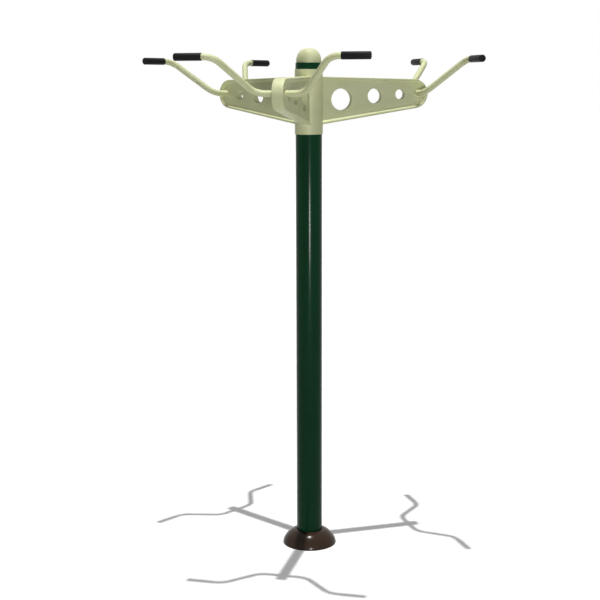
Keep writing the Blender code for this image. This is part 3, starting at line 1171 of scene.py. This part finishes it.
def makeFillets():
    # the welds between web and band: a wedge that is as wide as the web where it leaves it
    inner = armSizes["noseRadius"] - armSizes["bandThickness"]
    fillet = armSizes["fillet"]
    sink = armSizes["filletSink"]
    foot = edgeStrip("fillet_shape", inner + sink, armSizes["webWidth"] + 2 * fillet)
    crest = edgeStrip("fillet_crest", inner - fillet, armSizes["webWidth"] - sink)
    joinTo(foot, [crest])
    startEdit(foot)
    pick(foot, "EDGE", lambda edge: edge.is_boundary)
    bpy.ops.mesh.bridge_edge_loops()
    bpy.ops.mesh.select_all(action="SELECT")
    bpy.ops.mesh.normals_make_consistent(inside=False)
    endEdit()
    roundEdges(foot, armSizes["filletEdge"], angle=30)
    cutWith(foot, hubCutter())
    return foot


barSizes = {
    "reach": 0.523,
    "height": 2.145,
    "lean": 44.7,  # degrees outwards from upright
    "radius": 0.014,
    "sides": 40,
    "centreHalf": 0.1065,
    "kneeHalf": 0.242,
    "rise": 0.2095,
    "bend": 0.080,
    "bendSteps": 14,
    "toGrip": 0.0035,
    "gripLength": 0.120,
    "gripRadius": 0.016,
    "gripRound": 0.006,
    "gripEndWall": 0.004,
    "gripSides": 64,
    "gripFit": 0.0002,  # between tube and grip
    "gripMouthEdge": 0.001,
    "endRoom": 0.0005,  # between the tube's end and the grip's end wall
    "weldSides": 48,
    "bead": 0.002,
}


def makeBar():
    # half of the bar in the plane x = 0, mirrored, then leant outwards
    slope = math.atan2(barSizes["rise"], barSizes["kneeHalf"] - barSizes["centreHalf"])
    bendLength = barSizes["bend"] * math.tan(slope / 2)
    bendStart = barSizes["centreHalf"] - bendLength
    slant = math.hypot(barSizes["rise"], barSizes["kneeHalf"] - barSizes["centreHalf"])
    spanHalf = barSizes["kneeHalf"] + bendLength + barSizes["toGrip"] + barSizes["gripLength"]
    tubeEnd = spanHalf - barSizes["gripEndWall"] - barSizes["endRoom"]
    bpy.ops.mesh.primitive_circle_add(
        vertices=barSizes["sides"], radius=barSizes["radius"], rotation=(math.radians(90), 0, 0)
    )
    bar = newPiece("bar_shape")
    startEdit(bar)
    bpy.ops.mesh.extrude_edges_move(TRANSFORM_OT_translate={"value": (0, bendStart, 0)})
    bpy.ops.mesh.spin(
        steps=barSizes["bendSteps"],
        angle=-slope,
        center=(0, bendStart, barSizes["bend"]),
        axis=(1, 0, 0),
    )
    along = Vector((0, math.cos(slope), math.sin(slope))) * (slant - 2 * bendLength)
    bpy.ops.mesh.extrude_edges_move(TRANSFORM_OT_translate={"value": along})
    bpy.ops.mesh.spin(
        steps=barSizes["bendSteps"],
        angle=slope,
        center=(0, barSizes["kneeHalf"] + bendLength, barSizes["rise"] - barSizes["bend"]),
        axis=(1, 0, 0),
    )
    straight = tubeEnd - barSizes["kneeHalf"] - bendLength
    bpy.ops.mesh.extrude_edges_move(TRANSFORM_OT_translate={"value": (0, straight, 0)})
    bpy.ops.mesh.edge_face_add()
    endEdit()
    addModifier(bar, "MIRROR", use_axis=(False, True, False), merge_threshold=0.0001)
    startEdit(bar)
    bpy.ops.mesh.remove_doubles(threshold=0.00001)
    bpy.ops.mesh.normals_make_consistent(inside=False)
    endEdit()
    return bar, spanHalf


def makeGrip(spanHalf):
    # a rubber sleeve, closed and rounded at its outer end, bored to go over the tube
    length = barSizes["gripLength"]
    bpy.ops.mesh.primitive_cylinder_add(
        vertices=barSizes["gripSides"],
        radius=barSizes["gripRadius"],
        depth=length,
        location=(0, spanHalf - length / 2, barSizes["rise"]),
        rotation=(math.radians(90), 0, 0),
    )
    grip = newPiece("grip_shape")
    startEdit(grip)
    pick(grip, "EDGE", lambda edge: all(near(v.co.y, spanHalf) for v in edge.verts))
    bpy.ops.mesh.bevel(offset=barSizes["gripRound"], segments=8, affect="EDGES")
    mouth = spanHalf - length
    pick(grip, "FACE", lambda face: near(face.calc_center_median().y, mouth))
    wall = barSizes["gripRadius"] - barSizes["radius"] - barSizes["gripFit"]
    bpy.ops.mesh.inset(thickness=wall)
    deep = length - barSizes["gripEndWall"]
    bpy.ops.mesh.extrude_region_move(TRANSFORM_OT_translate={"value": (0, deep, 0)})
    side = math.tau * barSizes["gripRadius"] / barSizes["gripSides"]
    pick(
        grip,
        "EDGE",
        lambda edge: all(near(v.co.y, mouth) for v in edge.verts)
        and near(edge.calc_length(), side, 0.00005),
    )
    bpy.ops.mesh.bevel(offset=barSizes["gripMouthEdge"], segments=3, affect="EDGES")
    endEdit()
    return grip


def leanOut(piece):
    piece.rotation_euler = (0, math.radians(barSizes["lean"]), 0)
    piece.location = (barSizes["reach"], 0, barSizes["height"])
    applyPlace(piece)


def makeBarWeld():
    # a ring of weld round the tube at each side of the web
    rings = []
    for side in (1, -1):
        bpy.ops.mesh.primitive_circle_add(
            vertices=barSizes["weldSides"],
            radius=barSizes["radius"],
            location=(barSizes["reach"], side * armSizes["webWidth"] / 2, barSizes["height"]),
            rotation=(math.radians(90), 0, 0),
        )
        guide = newPiece("ring_guide")
        rings.append(beadAlong(guide, "bar_bead", lambda edge: True, barSizes["bead"]))
        bpy.data.objects.remove(guide, do_unlink=True)
    joinTo(rings[0], rings[1:])
    return rings[0]


armTurns = {"front": -90, "right": 30, "left": 150}  # degrees from +X


def makeArms():
    armBody, rootBeads = makeArmBody()
    welds = makeFillets()
    joinTo(welds, [makeBarWeld(), *rootBeads])
    bar, spanHalf = makeBar()
    gripRight = makeGrip(spanHalf)
    gripLeft = turnedCopy(gripRight, "grip_mirrored", math.pi)
    for piece in (bar, gripRight, gripLeft):
        leanOut(piece)
    for arm, degrees in armTurns.items():
        turn = math.radians(degrees)
        body = turnedCopy(armBody, f"{arm}_arm", turn)
        nodes = [f"{arm}_arm_band", f"{arm}_arm_plate_left", f"{arm}_arm_plate_right"]
        nodes += [f"{arm}_arm_ring_{size}" for size in ("large", "medium", "small")]
        finishPiece(body, creamCoat, "station", nodes)
        weld = turnedCopy(welds, f"{arm}_arm_welds", turn)
        finishPiece(weld, creamCoat, "station")
        tube = turnedCopy(bar, f"{arm}_bar", turn)
        finishPiece(tube, creamCoat, "station", [f"{arm}_pull_bar"])
        for side, grip in (("right", gripRight), ("left", gripLeft)):
            sleeve = turnedCopy(grip, f"{arm}_{side}_grip", turn)
            finishPiece(sleeve, blackRubber, "station", [f"{arm}_grip_{side}"])
    for piece in (armBody, welds, bar, gripRight, gripLeft):
        bpy.data.objects.remove(piece, do_unlink=True)


makeArms()
print("arms, bars and grips made")


# Finishes for the nodes that are kept as they are

slotFinish = {
    "green_paint": greenCoat,
    "cream_paint": creamCoat,
    "brown_cover": brownPlastic,
    "grip_rubber": blackRubber,
    "zinc_steel": zincPlate,
}


def finishNodes():
    for part in frame["record"]["subparts"]:
        node = frame["nodes"][part["node"]]
        for each in node.material_slots:
            each.material = slotFinish[part["material_slot"]]


finishNodes()
print("kept nodes finished")
